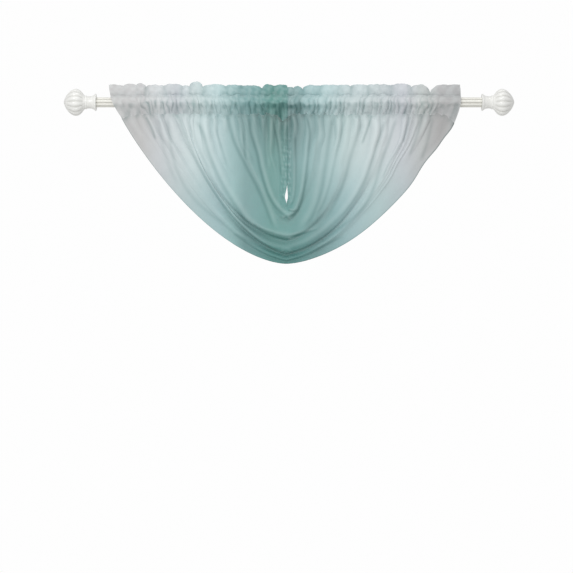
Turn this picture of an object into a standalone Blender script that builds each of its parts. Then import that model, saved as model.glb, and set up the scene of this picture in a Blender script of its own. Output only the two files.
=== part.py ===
"""Sheer waterfall swag valance gathered on a reeded curtain pole with fluted knob finials.

One shaped piece of voile has a rod pocket and a stand-up ruffle at each of its two ends.
Both ends are threaded on the pole side by side, so the cloth between them hangs as one
deep swag that falls in cowl folds round a small opening at the middle.

The pole lies along X through the origin, the room side is -Y and up is +Z.
"""
import math
from collections import namedtuple

import bmesh
import bpy

COLLECTION_NAME = "swag_valance_on_pole"

# Pole: a straight turned pole whose surface is worked into round reeds along its length.
POLE_RADIUS = 0.0175
POLE_HALF_LENGTH = 0.655
REED_COUNT = 8
REED_SIDES = 8
REED_DEPTH = 0.0021
REED_TURN = math.radians(11.5)
FIT_GAP = 0.0003

# Collar: distance from the end of the pole, radius.
TurnedRow = namedtuple("TurnedRow", "along radius")
COLLAR_STEPS = 36
COLLAR_ROWS = (
    TurnedRow(0.0000, 0.0285),
    TurnedRow(0.0030, 0.0290),
    TurnedRow(0.0060, 0.0262),
    TurnedRow(0.0125, 0.0222),
    TurnedRow(0.0220, 0.0206),
    TurnedRow(0.0310, 0.0212),
    TurnedRow(0.0330, 0.0232),
    TurnedRow(0.0367, 0.0232),
)

# Finial: distance from the collar, radius over the ribs between the flutes.
FLUTE_COUNT = 14
FLUTE_SIDES = 4
FLUTE_DEPTH = 0.07
FINIAL_ROWS = (
    TurnedRow(0.0000, 0.0225),
    TurnedRow(0.0050, 0.0262),
    TurnedRow(0.0130, 0.0368),
    TurnedRow(0.0220, 0.0436),
    TurnedRow(0.0315, 0.0460),
    TurnedRow(0.0410, 0.0440),
    TurnedRow(0.0520, 0.0370),
    TurnedRow(0.0620, 0.0262),
    TurnedRow(0.0690, 0.0140),
    TurnedRow(0.0727, 0.0045),
)

# Cloth: thickness, and the line where the two headings meet.
CLOTH_THICKNESS = 0.0012
MIDDLE_X = -0.009
LEFT = -1
RIGHT = 1

# Heading: the pocket's inner size and the ruffle above it.
POCKET_RADIUS = 0.0205
STITCH_Z = -0.040
RUFFLE_TOP_Z = 0.060
RUFFLE_WAVE = 0.006
POCKET_PUFF = 0.003
LEFT_FLARE = 0.38
RIGHT_FLARE = 0.15
END_BOW = 0.010
FLARE_START = 0.8

# Places along the pole where the pocket's lower stitching hangs lower, and where the ruffle dips.
Dip = namedtuple("Dip", "x depth reach")
STITCH_DIPS = (
    Dip(-0.590, 0.016, 0.045),
    Dip(-0.020, 0.024, 0.016),
    Dip(0.566, 0.034, 0.022),
)
RUFFLE_DIPS = (
    Dip(-0.360, 0.004, 0.030),
    Dip(-0.093, 0.014, 0.018),
    Dip(0.030, 0.012, 0.024),
    Dip(0.480, 0.028, 0.016),
)

# Cowl folds, from the edges of the middle opening out to the outer hem. Each row is the lower
# edge of one fold: where it leaves the two headings, how low it crosses the middle, how full
# its curve is on each side, how deep it stands and how far it rolls over the next fold.
Fold = namedtuple("Fold", "left_x right_x middle_z left_full right_full depth roll")
FOLDS = (
    Fold(-0.0105, -0.0075, -0.345, 3.00, 3.00, 0.000, 0.00),
    Fold(-0.1350, 0.0700, -0.389, 1.15, 2.20, 0.006, 0.12),
    Fold(-0.3000, 0.1900, -0.452, 1.90, 2.30, 0.010, 0.20),
    Fold(-0.3720, 0.3100, -0.503, 1.20, 1.85, 0.010, 0.20),
    Fold(-0.4580, 0.4100, -0.530, 1.10, 1.40, 0.007, 0.15),
    Fold(-0.5700, 0.5620, -0.549, 1.075, 1.130, 0.000, 0.00),
)
FOLD_SQUARENESS = 1.7
FOLD_LEAN = 1.25
ROLL_START = 0.15
ROLL_FULL = 0.8
PINCHED = 0.15
DEPTH_FULL = 0.6
HIGH_SHALLOWNESS = 0.35
FORWARD_HANG = 0.008
HEM_RIPPLE = 0.003
HEM_RIPPLES = 7.0

# Where the outer hem is drawn in from its smooth curve, or let out: how far down the side.
HemDent = namedtuple("HemDent", "side down inward reach")
HEM_DENTS = (
    HemDent(RIGHT, 0.05, 0.009, 0.04),
    HemDent(RIGHT, 0.17, 0.015, 0.08),
    HemDent(RIGHT, 0.62, -0.006, 0.18),
)
HEM_EASE = 0.1

# Gathers below the stitching, which die out down the swag.
GATHERS_PER_FOLD = 2
GATHER_SHIFT = 0.11
GATHER_SHIFT_TURNS = 2.1
GATHER_DEPTH = 0.0034
GATHER_START = 0.1
GATHER_REACH = 0.22

# The drop-shaped opening at the foot of the two inner edges.
OPENING_Z = -0.322
OPENING_BULGE = 0.0030
OPENING_HEIGHT = 0.018
OPENING_REACH = 0.35
OPENING_EASE = 0.1

# Mesh divisions of the cloth.
COLUMNS_PER_FOLD = 8
PANEL_ROWS = 17
PANEL_ROW_CROWDING = 1.25
POCKET_ROWS = 8
RUFFLE_ROWS = 2
COLUMNS = COLUMNS_PER_FOLD * (len(FOLDS) - 1)
CLOTH_MERGE = 0.00002
TURNING_MERGE = 0.00001

# Finishes: colour in linear red, green and blue, and roughness.
Finish = namedtuple("Finish", "colour roughness")
VOILE = Finish((0.48, 0.62, 0.62), 0.9)
PAINTED_WOOD = Finish((0.86, 0.86, 0.82), 0.35)
ENAMEL = Finish((0.88, 0.88, 0.85), 0.3)
REED_EDGE_ANGLE = 35.0


def smooth(low, high, value):
    """Ease from 0 at low to 1 at high."""
    share = min(max((value - low) / (high - low), 0.0), 1.0)
    return share * share * (3.0 - 2.0 * share)


def fold_value(column_name, across):
    """A FOLDS column as a smooth curve, read at a fold number that need not be whole."""
    rows = [getattr(fold, column_name) for fold in FOLDS]
    last = len(rows) - 1
    start = min(int(across), last - 1)
    share = across - start
    here, following = rows[start], rows[start + 1]
    leaving = (following - rows[max(start - 1, 0)]) / 2.0
    arriving = (rows[min(start + 2, last)] - here) / 2.0
    return (
        here * (1.0 + 2.0 * share) * (1.0 - share) ** 2
        + leaving * share * (1.0 - share) ** 2
        + following * share ** 2 * (3.0 - 2.0 * share)
        - arriving * share ** 2 * (1.0 - share)
    )


def dip_at(dips, x):
    """How far a table of dips lowers the edge at x."""
    return sum(dip.depth * math.exp(-((x - dip.x) / dip.reach) ** 2) for dip in dips)


def heading_x(side, across):
    """Where a line across the heading meets the lower stitching."""
    return fold_value("left_x" if side == LEFT else "right_x", across)


def stitch_z(side, across):
    """Height of the pocket's lower stitching."""
    return STITCH_Z - dip_at(STITCH_DIPS, heading_x(side, across))


def flared_x(side, across, z):
    """The heading's outer end leans outwards as it rises, and bows out over the pole."""
    foot = stitch_z(side, across)
    flare = LEFT_FLARE if side == LEFT else RIGHT_FLARE
    risen = min(max((z - foot) / (RUFFLE_TOP_Z - foot), 0.0), 1.0)
    outwards = flare * (z - foot) + END_BOW * math.sin(math.pi * risen)
    outer = smooth(FLARE_START, 1.0, across / (len(FOLDS) - 1))
    return heading_x(side, across) + side * outer * outwards


def gather_wave(side, across):
    """The gathers drawn up by the stitching, out of step between the two sides."""
    shift = GATHER_SHIFT * side * math.sin(GATHER_SHIFT_TURNS * across)
    turns = GATHERS_PER_FOLD * across + shift
    return math.sin(2.0 * math.pi * turns)


def swoop(side, across, down):
    """Point on the smooth swag, down from 0 at the heading to 1 at the middle."""
    full = fold_value("left_full" if side == LEFT else "right_full", across)
    turn = 1.0 - (1.0 - down ** (full / 2.0)) ** (FOLD_SQUARENESS / 2.0)
    angle = turn * math.pi / 2.0
    inward = max(math.cos(angle), 0.0) ** (2.0 / FOLD_SQUARENESS)
    fallen = math.sin(angle) ** (2.0 / full)
    top_x = heading_x(side, across)
    top_z = stitch_z(side, across)
    x = MIDDLE_X + (top_x - MIDDLE_X) * inward
    z = top_z + (fold_value("middle_z", across) - top_z) * fallen
    bulge = OPENING_BULGE * math.exp(-((z - OPENING_Z) / OPENING_HEIGHT) ** 2)
    x += side * bulge * math.exp(-across / OPENING_REACH) * smooth(1.0, 1.0 - OPENING_EASE, down)
    return x, z


def hem_inset(side, across, down):
    """How far the cloth near the outer hem is drawn in towards the middle."""
    inset = sum(
        dent.inward * math.exp(-((down - dent.down) / dent.reach) ** 2)
        for dent in HEM_DENTS if dent.side == side
    )
    inset *= smooth(0.0, HEM_EASE, down) * smooth(1.0, 1.0 - HEM_EASE, down)
    return inset * smooth(FLARE_START, 1.0, across / (len(FOLDS) - 1))


def panel_point(side, across, down):
    """Point on the folded swag below the pocket."""
    roll = fold_value("roll", across) * smooth(ROLL_START, ROLL_FULL, down)
    turn = 2.0 * math.pi * across
    hung = across - roll * (1.0 - math.cos(turn))
    x, z = swoop(side, hung, down)
    depth = fold_value("depth", across) * smooth(0.0, PINCHED, down)
    depth *= 1.0 - HIGH_SHALLOWNESS * smooth(DEPTH_FULL, PINCHED, down)
    y = depth * math.sin(turn - FOLD_LEAN)
    gather = GATHER_DEPTH * smooth(0.0, GATHER_START, down) * math.exp(-((down / GATHER_REACH) ** 2))
    y += gather * gather_wave(side, across)
    outer = smooth(FLARE_START, 1.0, across / (len(FOLDS) - 1))
    y += HEM_RIPPLE * outer * math.sin(math.pi * down) * math.sin(HEM_RIPPLES * down + side)
    y -= FORWARD_HANG * smooth(0.0, 1.0, down)
    x -= side * hem_inset(side, across, down)
    return x, y, z


def pocket_point(side, across, around):
    """Point on the pocket, around from 0 at the stitching, over the pole's front, back to 1."""
    front = around <= 0.5
    climb = 2.0 * (around if front else 1.0 - around)
    angle = math.pi * climb
    fall = -stitch_z(side, across)
    tangent = math.acos(POCKET_RADIUS / fall)
    radius = POCKET_RADIUS / math.cos(max(tangent - angle, 0.0))
    radius += POCKET_PUFF * math.sin(angle) * (1.0 + gather_wave(side, across))
    z = -radius * math.cos(angle)
    y = (-1.0 if front else 1.0) * radius * math.sin(angle)
    return flared_x(side, across, z), y, z


def ruffle_point(side, across, up):
    """Point on the ruffle that stands above the pole."""
    top = RUFFLE_TOP_Z - dip_at(RUFFLE_DIPS, heading_x(side, across))
    z = POCKET_RADIUS + (top - POCKET_RADIUS) * up
    y = RUFFLE_WAVE * up * gather_wave(side, across)
    return flared_x(side, across, z), y, z


def add_grid(mesh, rows, place, crowding=1.0):
    """Add a grid of COLUMNS by rows, each vertex put where place(across, along) says."""
    grid = bmesh.ops.create_grid(mesh, x_segments=COLUMNS, y_segments=rows, size=0.5)
    for vertex in grid["verts"]:
        across = (vertex.co.x + 0.5) * (len(FOLDS) - 1)
        along = min(max(vertex.co.y + 0.5, 0.0), 1.0) ** crowding
        vertex.co = place(min(max(across, 0.0), len(FOLDS) - 1.0), along)


def make_material(name, finish):
    """A plain finish for one sub-part."""
    material = bpy.data.materials.new(name)
    material.use_nodes = True
    shader = material.node_tree.nodes["Principled BSDF"]
    shader.inputs["Base Color"].default_value = (*finish.colour, 1.0)
    shader.inputs["Roughness"].default_value = finish.roughness
    shader.inputs["Metallic"].default_value = 0.0
    material.diffuse_color = (*finish.colour, 1.0)
    return material


def add_object(mesh, name, material, collection):
    """Turn a bmesh into a named, smooth-shaded object."""
    data = bpy.data.meshes.new(name)
    mesh.to_mesh(data)
    mesh.free()
    data.materials.append(material)
    data.shade_smooth()
    made = bpy.data.objects.new(name, data)
    collection.objects.link(made)
    return made


def make_cloth(collection):
    """The whole valance: swag, rod pockets and ruffles, one piece of voile."""
    mesh = bmesh.new()
    for side in (LEFT, RIGHT):
        add_grid(mesh, PANEL_ROWS, lambda across, along: panel_point(side, across, along), PANEL_ROW_CROWDING)
        add_grid(mesh, POCKET_ROWS, lambda across, along: pocket_point(side, across, along))
        add_grid(mesh, RUFFLE_ROWS, lambda across, along: ruffle_point(side, across, along))
    bmesh.ops.remove_doubles(mesh, verts=mesh.verts, dist=CLOTH_MERGE)
    voile = make_material("voile", VOILE)
    cloth = add_object(mesh, "swag_cloth", voile, collection)
    solidify = cloth.modifiers.new("cloth_thickness", "SOLIDIFY")
    solidify.solidify_mode = "NON_MANIFOLD"
    solidify.nonmanifold_thickness_mode = "CONSTRAINTS"
    solidify.nonmanifold_merge_threshold = CLOTH_MERGE
    solidify.thickness = CLOTH_THICKNESS
    solidify.offset = 0.0


def make_pole(collection):
    """Reeded pole along X: a cylinder whose rim is drawn in between the reeds."""
    mesh = bmesh.new()
    bmesh.ops.create_cone(
        mesh, cap_ends=True, segments=REED_COUNT * REED_SIDES,
        radius1=POLE_RADIUS, radius2=POLE_RADIUS, depth=2.0 * POLE_HALF_LENGTH,
    )
    for vertex in mesh.verts:
        angle = math.atan2(vertex.co.y, vertex.co.x)
        radius = POLE_RADIUS - REED_DEPTH * (1.0 - abs(math.cos(angle * REED_COUNT / 2.0)))
        along = -vertex.co.z
        turned = angle + REED_TURN
        vertex.co = (along, -radius * math.cos(turned), radius * math.sin(turned))
    painted = make_material("painted_wood", PAINTED_WOOD)
    pole = add_object(mesh, "pole", painted, collection)
    pole.data.set_sharp_from_angle(angle=math.radians(REED_EDGE_ANGLE))


def make_collar(side, collection):
    """Turned neck between the pole and a finial: a profile swept round X by a Screw modifier."""
    mesh = bmesh.new()
    start = POLE_HALF_LENGTH + FIT_GAP
    outline = [(start, 0.0)]
    outline += [(start + row.along, row.radius) for row in COLLAR_ROWS]
    outline.append((start + COLLAR_ROWS[-1].along, 0.0))
    if side == RIGHT:
        outline.reverse()
    points = [mesh.verts.new((side * along, 0.0, radius)) for along, radius in outline]
    for first, second in zip(points, points[1:]):
        mesh.edges.new((first, second))
    name = "collar_left" if side == LEFT else "collar_right"
    enamel = make_material(name + "_paint", ENAMEL)
    collar = add_object(mesh, name, enamel, collection)
    screw = collar.modifiers.new("turning", "SCREW")
    screw.axis = "X"
    screw.steps = COLLAR_STEPS
    screw.render_steps = COLLAR_STEPS
    screw.use_merge_vertices = True
    screw.merge_threshold = TURNING_MERGE
    screw.use_smooth_shade = True


def make_finial(side, collection):
    """Fluted knob: a turned profile, its flutes pressed in deepest over the ball."""
    mesh = bmesh.new()
    start = POLE_HALF_LENGTH + FIT_GAP + COLLAR_ROWS[-1].along + FIT_GAP
    outline = [(start, 0.0)]
    outline += [(start + row.along, row.radius) for row in FINIAL_ROWS]
    outline.append((start + FINIAL_ROWS[-1].along, 0.0))
    points = [mesh.verts.new((side * along, 0.0, radius)) for along, radius in outline]
    edges = [mesh.edges.new((first, second)) for first, second in zip(points, points[1:])]
    bmesh.ops.spin(
        mesh, geom=points + edges, cent=(0.0, 0.0, 0.0), axis=(1.0, 0.0, 0.0), angle=2.0 * math.pi,
        steps=FLUTE_COUNT * FLUTE_SIDES, use_merge=True,
    )
    bmesh.ops.remove_doubles(mesh, verts=mesh.verts, dist=TURNING_MERGE)
    for vertex in mesh.verts:
        angle = math.atan2(vertex.co.y, vertex.co.z)
        outwards = math.hypot(vertex.co.y, vertex.co.z)
        over_ball = smooth(FINIAL_ROWS[0].radius, FINIAL_ROWS[2].radius, outwards)
        along_ball = smooth(0.0, FINIAL_ROWS[2].along, abs(vertex.co.x) - start)
        press = FLUTE_DEPTH * max(over_ball, along_ball) * (1.0 - abs(math.cos(angle * FLUTE_COUNT / 2.0)))
        vertex.co.y *= 1.0 - press
        vertex.co.z *= 1.0 - press
    bmesh.ops.recalc_face_normals(mesh, faces=mesh.faces)
    name = "finial_left" if side == LEFT else "finial_right"
    enamel = make_material(name + "_paint", ENAMEL)
    add_object(mesh, name, enamel, collection)


def main():
    for old in list(bpy.data.objects):
        bpy.data.objects.remove(old, do_unlink=True)
    collection = bpy.data.collections.new(COLLECTION_NAME)
    bpy.context.scene.collection.children.link(collection)
    make_pole(collection)
    for side in (LEFT, RIGHT):
        make_collar(side, collection)
        make_finial(side, collection)
    make_cloth(collection)


main()
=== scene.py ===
"""Looks for the sheer swag valance on its curtain pole.

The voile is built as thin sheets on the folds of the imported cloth: the swag itself and the two
gathered headings. The pole, collars and finials are turned at a finer grain than their solids.
The pole lies along X, the room side is -Y and up is +Z.
"""
import math
import random
from collections import namedtuple

import bmesh
import bpy
import numpy as np
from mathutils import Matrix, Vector


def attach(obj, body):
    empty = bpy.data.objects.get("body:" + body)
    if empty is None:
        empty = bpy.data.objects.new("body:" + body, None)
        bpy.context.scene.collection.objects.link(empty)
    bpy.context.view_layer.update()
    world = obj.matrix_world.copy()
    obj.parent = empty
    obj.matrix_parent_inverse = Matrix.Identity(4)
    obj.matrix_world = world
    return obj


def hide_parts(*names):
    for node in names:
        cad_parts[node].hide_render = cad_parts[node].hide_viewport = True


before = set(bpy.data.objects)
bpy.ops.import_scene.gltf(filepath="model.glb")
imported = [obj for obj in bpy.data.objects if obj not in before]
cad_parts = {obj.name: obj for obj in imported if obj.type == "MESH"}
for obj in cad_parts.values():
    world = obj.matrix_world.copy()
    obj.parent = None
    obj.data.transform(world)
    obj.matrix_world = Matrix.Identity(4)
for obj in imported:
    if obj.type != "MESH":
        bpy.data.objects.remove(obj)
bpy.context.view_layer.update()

BODY = "root"
LEFT = -1
RIGHT = 1
SIDE_NAMES = {LEFT: "left", RIGHT: "right"}
MM = 0.001

# ---------------------------------------------------------------- camera, floor and light

VIEW_WIDTH = 1.948
VIEW_MIDDLE = Vector((-0.0085, 0.0, -0.626))
VIEW_DISTANCE = 6.5
VIEW_END = 100.0
SENSOR_WIDTH = 36.0
FLOOR_Z = -2.1
FLOOR_SIZE = 5.0
WHITE = (1.0, 1.0, 1.0, 1.0)
ROOM_SEEN = 0.99
ROOM_LIGHT = 0.62
SOFTBOX_SIZE = 1.8
Softbox = namedtuple("Softbox", "name place aim power")
SOFTBOXES = (
    Softbox("key_softbox", (-2.0, -3.6, 1.7), (0.0, 0.0, -0.25), 80.0),
    Softbox("low_softbox", (0.5, -3.2, -1.9), (0.0, 0.0, -0.35), 18.0),
    Softbox("top_softbox", (0.6, -1.2, 2.6), (0.0, 0.0, -0.2), 22.0),
)


def make_camera():
    """Straight on, from across the room."""
    data = bpy.data.cameras.new("room_camera")
    data.sensor_width = SENSOR_WIDTH
    data.lens = SENSOR_WIDTH * VIEW_DISTANCE / VIEW_WIDTH
    data.clip_end = VIEW_END
    camera = bpy.data.objects.new("room_camera", data)
    camera.location = VIEW_MIDDLE - Vector((0.0, VIEW_DISTANCE, 0.0))
    camera.rotation_euler = (math.radians(90.0), 0.0, 0.0)
    bpy.context.scene.collection.objects.link(camera)
    bpy.context.scene.camera = camera


def add_softbox(softbox):
    """A square studio light, turned to shine at its aim."""
    data = bpy.data.lights.new(softbox.name, "AREA")
    data.shape = "SQUARE"
    data.size = SOFTBOX_SIZE
    data.energy = softbox.power
    light = bpy.data.objects.new(softbox.name, data)
    light.location = softbox.place
    beam = Vector(softbox.aim) - Vector(softbox.place)
    light.rotation_euler = beam.to_track_quat("-Z", "Y").to_euler()
    bpy.context.scene.collection.objects.link(light)


make_camera()

# ---------------------------------------------------------------- sizes of the cloth

# Cowl folds, from the edges of the middle opening out to the outer hem. Each row is the lower
# edge of one fold: where it leaves the two headings, how low it crosses the middle, how full
# its curve is on each side, how deep it stands and how far it rolls over the next fold.
Fold = namedtuple("Fold", "left_x right_x middle_z left_full right_full depth roll")
FOLDS = (
    Fold(-0.0044, -0.0056, -0.345, 3.00, 3.00, 0.000, 0.00),
    Fold(-0.1350, 0.0700, -0.389, 1.15, 2.20, 0.005, 0.06),
    Fold(-0.3000, 0.1900, -0.452, 1.90, 2.30, 0.007, 0.08),
    Fold(-0.3720, 0.3100, -0.503, 1.20, 1.85, 0.007, 0.08),
    Fold(-0.4580, 0.4100, -0.530, 1.10, 1.40, 0.005, 0.06),
    Fold(-0.5700, 0.5620, -0.549, 1.075, 1.130, 0.000, 0.00),
)
OUTER = len(FOLDS) - 1
FOLD_SQUARENESS = 1.7
FOLD_LEAN = 1.25
ROLL_START = 0.15
ROLL_FULL = 0.8
PINCHED = 0.15
DEPTH_FULL = 0.6
HIGH_SHALLOWNESS = 0.35
FORWARD_HANG = 0.008
HEM_RIPPLE = 0.003
HEM_RIPPLES = 7.0
MIDDLE_X = -0.009

# Where the outer hem is drawn in from its smooth curve, or let out: how far down the side.
HemDent = namedtuple("HemDent", "side down inward reach")
HEM_DENTS = (
    HemDent(RIGHT, 0.05, 0.009, 0.04),
    HemDent(RIGHT, 0.17, 0.015, 0.08),
    HemDent(RIGHT, 0.62, -0.006, 0.18),
)
HEM_EASE = 0.1

# Where the low folds meet at the middle they hang to a soft point: between which folds.
POINT_DROP = 0.005
POINT_REACH = 0.030
POINT_INNER = (1.0, 1.8)
POINT_OUTER = (OUTER, 4.2)

# Painted shade near the middle, under the pocket and less far along it.
HIGH_SHADE = 0.50
HIGH_SHADE_ON_HEADING = 0.7
HIGH_SHADE_REACH = 0.135
HIGH_SHADE_BAND = (-0.21, -0.07)

# The drop-shaped opening at the foot of the two inner edges.
OPENING_Z = -0.322
OPENING_BULGE = 0.0050
OPENING_HEIGHT = 0.027
OPENING_FOOT = 0.014
OPENING_LEAN = 0.3
OPENING_REACH = 0.35
OPENING_END = (1.0, 0.9)

# Heading: the pocket's inner size and the ruffle above it.
POCKET_RADIUS = 0.0205
POCKET_PUFF = 0.0025
STITCH_Z = -0.040
TOP_STITCH_Z = 0.0235
TOP_STITCH_WANDER = 0.0022
RUFFLE_TOP_Z = 0.060
LEFT_FLARE = 0.38
RIGHT_FLARE = 0.15
END_BOW = 0.010
FLARE_START = 0.8

# Places along the pole where the pocket's lower stitching hangs lower.
Dip = namedtuple("Dip", "x depth reach")
STITCH_DIPS = (
    Dip(-0.590, 0.016, 0.045),
    Dip(-0.020, 0.024, 0.016),
    Dip(0.566, 0.034, 0.022),
)

# The ruffle stands in uneven rounded loops, listed from the middle outwards. In
# millimetres: where each starts, how low the notch there is, how high the loop stands and how
# far it turns towards the back. The last row only closes the one before it.
Loop = namedtuple("Loop", "start notch_z top_z turn")
RUFFLE_LOOPS = {
    LEFT: (
        Loop(-2, 53, 60, 3.0), Loop(52, 54, 61, -4.5), Loop(92, 43, 58, 5.0),
        Loop(160, 56, 59, -3.5), Loop(214, 54, 62, 6.5), Loop(292, 49, 70, -7.0),
        Loop(338, 53, 58, 4.0), Loop(363, 54, 62, -6.0), Loop(425, 54, 60, 5.5),
        Loop(487, 50, 65, -5.0), Loop(519, 56, 63, 4.0), Loop(562, 55, 60, -1.5),
        Loop(640, 60, 60, 0.0),
    ),
    RIGHT: (
        Loop(-16, 52, 52, -2.0), Loop(14, 47, 55, 4.0), Loop(47, 43, 58, -6.0),
        Loop(105, 56, 60, 5.0), Loop(168, 57, 59, -3.5), Loop(208, 54, 61, 6.0),
        Loop(268, 58, 61, -4.5), Loop(345, 55, 64, 6.5), Loop(416, 52, 60, -6.0),
        Loop(478, 29, 60, 2.5), Loop(568, 60, 60, 0.0),
    ),
}

# Gathers: the cloth bulges between creases drawn up by the stitching.
SWAG_SPACING = (0.016, 0.042)
POCKET_SPACING = (0.008, 0.022)
SWAG_SEED = 40
POCKET_SEED = 50
GATHER_HEIGHT = 0.27
GATHER_UNEVENNESS = (0.3, 1.4)
GATHER_REACH = (0.10, 0.42)
GATHERS_START = 0.035
CROWN_PAINTED_HIGHLIGHT = 0.55
FLAT_ENDS = {LEFT: (0.500, 0.700), RIGHT: (0.490, 0.700)}
FLAT_END_SHARE = 0.30
RUFFLE_GAP = 0.0009
GATHERED_LENGTH = (-0.02, 0.66)
BULGE_ROUNDNESS = 1.2
CROWN_SHARPNESS = 6
STRONGEST_GATHER = 1.4

# How far down their gathers' reach the painted shade in the creases and the painted highlight on
# the crowns show.
CLOSENESS_REACH = 0.7
CROWN_REACH = 0.8

# Uneven waves that the cloth and its tones follow: their usual length, their seed and how
# high they are.
Waves = namedtuple("Waves", "length seed height", defaults=(1.0,))
WAVE_COUNT = 7
WAVE_LENGTHS = (0.6, 1.7)
STITCH_WAVES = Waves(0.024, 17, 0.0030)
TOP_STITCH_WAVES = Waves(0.034, 27)
SWAY_WAVES = Waves(0.120, 31, 0.0040)
LIMP_WAVES = Waves(0.060, 7, 0.0007)
SEAM_WAVES = Waves(0.020, 21)
LEAN_WAVES = Waves(0.045, 33, 0.0045)
WRINKLE_WAVES = Waves(0.020, 3, 0.0010)
LOOP_WAVES = Waves(0.050, 36, 0.0040)
EDGE_WAVES = Waves(0.022, 5, 0.0008)
RIPPLE_WAVES = Waves(0.026, 11, 0.0006)
SIDEWAYS_WAVES = Waves(0.030, 9, 0.0011)
BLOTCH_WAVES = Waves(0.030, 23)
PUFF_WAVES = Waves(0.026, 53)
LOW_WAVES = Waves(0.045, 45, 0.07)
PATCH_WAVES = Waves(0.035, 47)
DRAPE_WAVES = Waves(0.021, 61)

# Creases and soft ridges: how high the cloth rises on the crease's upper side, how wide that
# roll is, how dark the painted shade along it is, which also sets the painted highlight on its
# ridge, and the crease's path as (x, z) in millimetres from the heading downwards.
Crease = namedtuple("Crease", "rise width dark path")
CREASES = (
    Crease(2.0, 9.0, 0.45, ((-486, -48), (-474, -72), (-462, -98), (-452, -130))),
    Crease(1.5, 14.0, 0.16, ((-438, -46), (-436, -100), (-424, -160), (-404, -220), (-372, -290))),
    Crease(1.4, 13.0, 0.20, ((-412, -45), (-405, -110), (-394, -180), (-376, -240), (-345, -298),
        (-300, -350), (-250, -392), (-200, -430))),
    Crease(2.0, 12.0, 0.34, ((-384, -34), (-372, -58), (-352, -110), (-331, -158), (-312, -200),
        (-290, -240), (-270, -276), (-245, -316), (-220, -357), (-195, -392), (-160, -430),
        (-120, -462), (-66, -490), (-9, -504))),
    Crease(1.2, 10.0, 0.14, ((-350, -46), (-332, -88), (-314, -136), (-292, -186), (-262, -236))),
    Crease(2.4, 14.0, 0.34, ((-322, -52), (-300, -86), (-286, -120), (-276, -155), (-262, -195),
        (-248, -230), (-232, -265), (-210, -305), (-185, -345), (-165, -375), (-148, -402),
        (-118, -428), (-86, -445), (-50, -455), (-9, -462))),
    Crease(1.2, 10.0, 0.16, ((-262, -46), (-248, -90), (-236, -130), (-222, -180), (-200, -240))),
    Crease(2.5, 12.0, 0.36, ((-213, -34), (-204, -72), (-190, -120), (-172, -162), (-153, -199),
        (-135, -235), (-111, -280), (-91, -325), (-76, -362), (-60, -405), (-44, -441))),
    Crease(2.1, 10.0, 0.34, ((-173, -40), (-163, -75), (-155, -112), (-151, -155), (-144, -208))),
    Crease(2.6, 11.0, 0.44, ((-136, -50), (-130, -100), (-118, -140), (-106, -180), (-98, -220),
        (-85, -268), (-70, -312), (-50, -348), (-27, -373), (-9, -388))),
    Crease(1.2, 10.0, 0.18, ((-92, -46), (-84, -110), (-80, -170), (-74, -230))),
    Crease(1.8, 8.0, 0.34, ((-58, -42), (-49, -90), (-38, -140), (-31, -200), (-27, -262))),
    Crease(2.4, 9.0, 0.34, ((58, -40), (70, -100), (66, -160), (61, -212), (54, -270), (46, -318),
        (35, -354), (18, -380), (-9, -390))),
    Crease(1.4, 7.0, 0.30, ((21, -112), (23, -180), (23, -250), (21, -300), (14, -336), (2, -352))),
    Crease(1.4, 10.0, 0.16, ((98, -46), (96, -110), (88, -180), (80, -250))),
    Crease(2.6, 15.0, 0.30, ((146, -44), (138, -110), (129, -170), (120, -230), (110, -292),
        (95, -348), (70, -398), (42, -432))),
    Crease(1.8, 10.0, 0.24, ((192, -46), (176, -110), (161, -170), (148, -230), (134, -290),
        (112, -350), (80, -402))),
    Crease(2.0, 12.0, 0.24, ((246, -60), (226, -130), (210, -180), (197, -230), (185, -272),
        (165, -322), (140, -370), (106, -412))),
    Crease(2.2, 8.0, 0.40, ((282, -40), (268, -84), (258, -112), (246, -146))),
    Crease(2.4, 13.0, 0.30, ((332, -44), (313, -100), (297, -150), (281, -200), (265, -245),
        (250, -280), (226, -322), (196, -364), (160, -402), (118, -440), (62, -478), (-9, -504))),
    Crease(2.4, 12.0, 0.30, ((366, -46), (350, -95), (336, -140), (320, -184), (305, -232),
        (289, -284), (268, -330), (236, -372), (190, -414), (130, -456))),
    Crease(1.5, 6.0, 0.26, ((384, -130), (362, -170), (342, -202), (326, -236), (316, -262))),
    Crease(2.0, 12.0, 0.28, ((410, -46), (398, -95), (384, -140))),
    Crease(1.8, 10.0, 0.30, ((452, -44), (444, -80), (428, -130), (404, -190))),
    Crease(1.6, 12.0, 0.24, ((486, -50), (478, -100), (464, -150), (446, -204))),
    Crease(1.6, 10.0, 0.18, ((-190, -444), (-140, -470), (-90, -494), (-50, -510), (-9, -521))),
    Crease(1.6, 10.0, 0.18, ((190, -452), (140, -476), (90, -498), (40, -514), (-9, -521))),
    Crease(2.0, 7.0, 0.34, ((-124, -412), (-96, -430), (-60, -443), (-9, -456), (50, -445),
        (116, -424))),
    Crease(2.6, 5.0, 0.36, ((-4, -366), (10, -370), (26, -369), (38, -358))),
)
CREASE_STEPS = 6
CREASE_MARGIN = 4.0
CREASE_START = (0.0, 0.06)
CREASE_END = (1.0, 0.86)
LIFT_START = (0.0, 0.06)
HOLLOW_SHARE = 0.35

# Bands along a crease, in widths of the crease: how far above its line each lies and how wide
# it is. The dark band places painted shade, the last band a painted highlight.
Band = namedtuple("Band", "place width")
ROLL_BAND = Band(1.0, 1.0)
HOLLOW_BAND = Band(-0.7, 0.8)
DARK_BAND = Band(-0.1, 0.5)
PAINTED_HIGHLIGHT_BAND = Band(0.9, 0.7)

PANEL_COLUMNS = 290
PANEL_ROWS = 332
PANEL_CROWDING = 1.3
HEADING_COLUMNS = 330
WALL_ROWS = 24
RUFFLE_ROWS = 16
FOLD_ROWS = 3


def unit(value):
    """The value held between 0 and 1."""
    return np.clip(value, 0.0, 1.0)


def smooth(low, high, value):
    """Ease from 0 at low to 1 at high."""
    share = unit((value - low) / (high - low))
    return share * share * (3.0 - 2.0 * share)


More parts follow.
